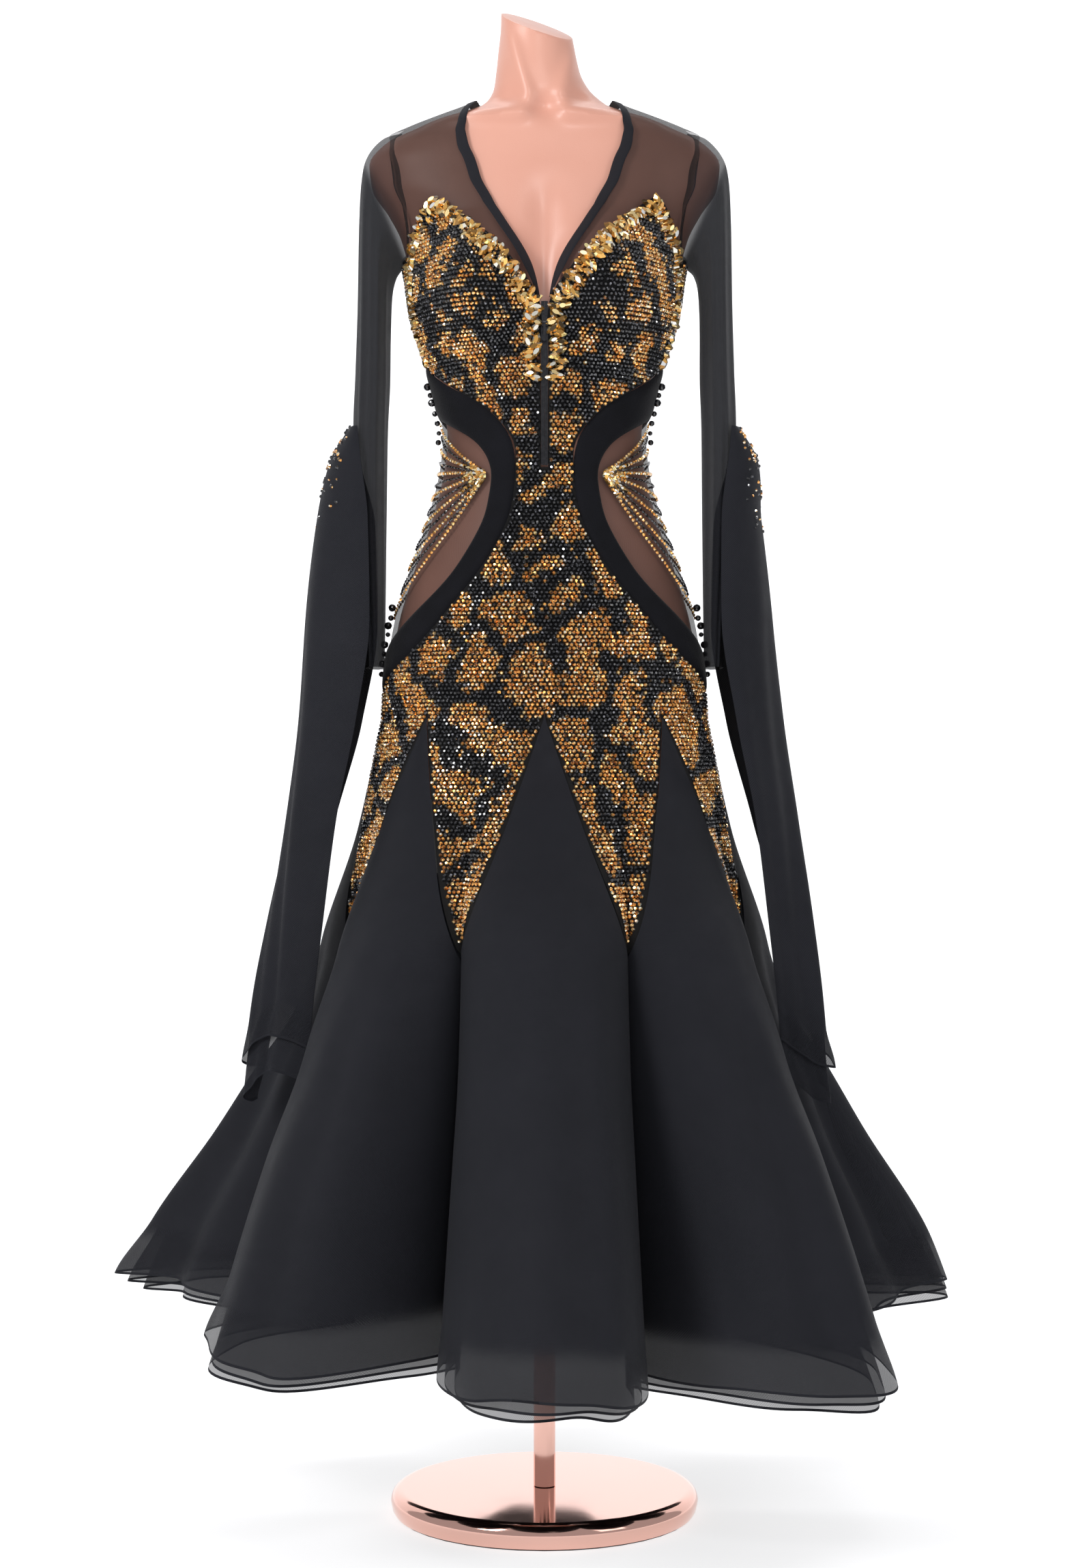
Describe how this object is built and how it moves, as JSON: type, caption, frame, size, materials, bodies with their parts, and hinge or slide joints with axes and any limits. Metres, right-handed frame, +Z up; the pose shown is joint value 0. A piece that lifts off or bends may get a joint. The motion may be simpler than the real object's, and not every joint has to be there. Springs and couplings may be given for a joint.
{
  "type": "ballroom dance dress on display form",
  "caption": "Long-sleeved dance gown with stoned bodice and hips, side windows, sleeve floats and a godet skirt, on a headless display form with a round base.",
  "frame": {"origin": "centre of the base's underside, on the floor", "axes": "+Z up the pole, -Y out of the gown's front, +X towards the wearer's left"},
  "size_m": [0.8376, 0.8491, 1.5213],
  "materials": {
    "rose_metal": "polished rose gold plate",
    "steel": "plain steel",
    "black_rubber": "matt",
    "blush_shell": "satin blush pink shell",
    "black_chiffon": "sheer, several layers",
    "black_velvet": "velvet pile",
    "sheer_mesh": "fine black mesh over skin",
    "stoned_cloth": "stretch cloth set with gold and black stones",
    "elastic": "woven elastic",
    "zip_metal": "black metal zip"
  },
  "bodies": {
    "stand": {"base_cover": "rose_metal", "base_weight": "steel", "base_pad": "black_rubber", "base_screw": "steel", "pole_tube": "rose_metal", "height_collar": "steel"},
    "height_knob": {"height_knob": "black_rubber"},
    "rod": {"pole_rod": "steel"},
    "swivel_knob": {"swivel_knob": "black_rubber"},
    "form": {"back_bodice": "stoned_cloth", "bodice_left": "stoned_cloth", "bodice_right": "stoned_cloth", "godet_back": "black_chiffon", "godet_back_left": "black_chiffon", "godet_back_right": "black_chiffon", "godet_front": "black_chiffon", "godet_front_left": "black_chiffon", "godet_front_right": "black_chiffon", "godet_left": "black_chiffon", "godet_right": "black_chiffon", "hip_gore_back_left": "stoned_cloth", "hip_gore_back_right": "stoned_cloth", "hip_gore_front_left": "stoned_cloth", "hip_gore_front_right": "stoned_cloth", "hip_gore_side_back_left": "stoned_cloth", "hip_gore_side_back_right": "stoned_cloth", "hip_gore_side_front_left": "stoned_cloth", "hip_gore_side_front_right": "stoned_cloth", "neck_binding_left": "black_chiffon", "neck_binding_right": "black_chiffon", "side_window_left": "sheer_mesh", "side_window_right": "sheer_mesh", "sleeve_head_left": "sheer_mesh", "sleeve_head_right": "sheer_mesh", "torso": "blush_shell", "torso_base_plate": "steel", "torso_socket": "steel", "underskirt_back_left": "black_chiffon", "underskirt_back_right": "black_chiffon", "underskirt_front_left": "black_chiffon", "underskirt_front_right": "black_chiffon", "velvet_band_back_left": "black_velvet", "velvet_band_back_right": "black_velvet", "velvet_band_front_left": "black_velvet", "velvet_band_front_right": "black_velvet", "waist_stay": "elastic", "yoke_back": "sheer_mesh", "yoke_front_left": "sheer_mesh", "yoke_front_right": "sheer_mesh", "zip_tape_left": "zip_metal", "zip_tape_right": "zip_metal"},
    "zip_slider": {"zip_slider": "zip_metal"},
    "zip_pull": {"zip_pull": "zip_metal"},
    "left_sleeve": {"sleeve_left": "sheer_mesh"},
    "right_sleeve": {"sleeve_right": "sheer_mesh"},
    "left_float": {"float_left": "black_chiffon"},
    "right_float": {"float_right": "black_chiffon"}
  },
  "joints": [
    {"name": "height_slide", "type": "slide", "parent": "stand", "child": "rod", "axis": [0, 0, 1], "range_m": [-0.1, 0.16]},
    {"name": "height_knob_turn", "type": "hinge", "parent": "stand", "child": "height_knob", "pos_m": [0, 0.03, 0.492], "axis": [0, 1, 0], "continuous": true},
    {"name": "form_swivel", "type": "hinge", "parent": "rod", "child": "form", "pos_m": [0, 0, 0.68], "axis": [0, 0, 1], "continuous": true},
    {"name": "swivel_knob_turn", "type": "hinge", "parent": "form", "child": "swivel_knob", "pos_m": [0, 0.03, 0.6807], "axis": [0, 1, 0], "continuous": true},
    {"name": "zip_slide", "type": "slide", "parent": "form", "child": "zip_slider", "axis": [0, 0.0294, -0.9996], "range_m": [-0.01, 0.125]},
    {"name": "zip_pull_swing", "type": "hinge", "parent": "zip_slider", "child": "zip_pull", "pos_m": [0, -0.09898, 1.18596], "axis": [1, 0, 0], "range_deg": [-120, 0]},
    {"name": "left_sleeve_lift", "type": "hinge", "parent": "form", "child": "left_sleeve", "pos_m": [0.1665, 0, 1.345], "axis": [0, -1, 0], "range_deg": [0, 80]},
    {"name": "right_sleeve_lift", "type": "hinge", "parent": "form", "child": "right_sleeve", "pos_m": [-0.1665, 0, 1.345], "axis": [0, 1, 0], "range_deg": [0, 80]},
    {"name": "left_float_swing", "type": "hinge", "parent": "left_sleeve", "child": "left_float", "pos_m": [0.196, 0, 1.092], "axis": [0, -1, 0], "range_deg": [0, 40]},
    {"name": "right_float_swing", "type": "hinge", "parent": "right_sleeve", "child": "right_float", "pos_m": [-0.196, 0, 1.092], "axis": [0, 1, 0], "range_deg": [0, 40]}
  ]
}
